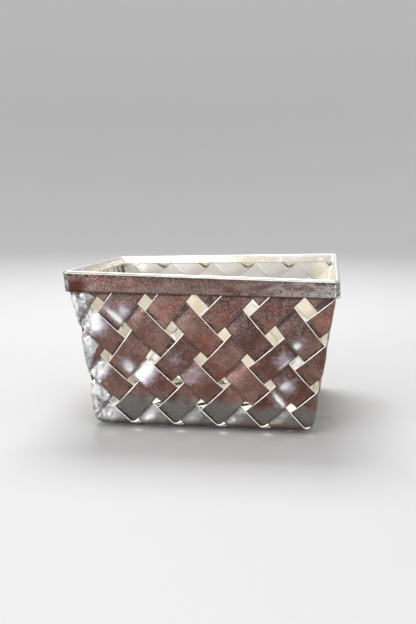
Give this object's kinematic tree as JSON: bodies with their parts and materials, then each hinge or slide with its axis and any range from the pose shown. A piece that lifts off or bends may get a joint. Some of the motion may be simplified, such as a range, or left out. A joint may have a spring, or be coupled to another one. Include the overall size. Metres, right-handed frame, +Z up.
{
  "type": "plaited metal basket",
  "caption": "Open square basket plaited on the bias from flat silver-plated metal strips, with leaning walls and a folded channel rim.",
  "frame": {"origin": "middle of the base, on the surface it rests on", "axes": "+Z up out of the mouth, front wall towards -Y, +X to the right"},
  "size_m": [0.1274, 0.1274, 0.0761],
  "materials": {
    "strip_silver": "worn silver plate with a thin reddish brown tarnish, bright along the edges",
    "rim_silver": "worn silver plate, darker and pitted on the outside, bright along the fold"
  },
  "bodies": {
    "root": {"strip_front_left_1": "strip_silver", "strip_front_left_2": "strip_silver", "strip_front_left_3": "strip_silver", "strip_front_left_4": "strip_silver", "strip_front_left_5": "strip_silver", "strip_front_right_1": "strip_silver", "strip_front_right_2": "strip_silver", "strip_front_right_3": "strip_silver", "strip_front_right_4": "strip_silver", "strip_front_right_5": "strip_silver", "strip_back_right_1": "strip_silver", "strip_back_right_2": "strip_silver", "strip_back_right_3": "strip_silver", "strip_back_right_4": "strip_silver", "strip_back_right_5": "strip_silver", "strip_back_left_1": "strip_silver", "strip_back_left_2": "strip_silver", "strip_back_left_3": "strip_silver", "strip_back_left_4": "strip_silver", "strip_back_left_5": "strip_silver", "rim_channel": "rim_silver"}
  },
  "joints": []
}
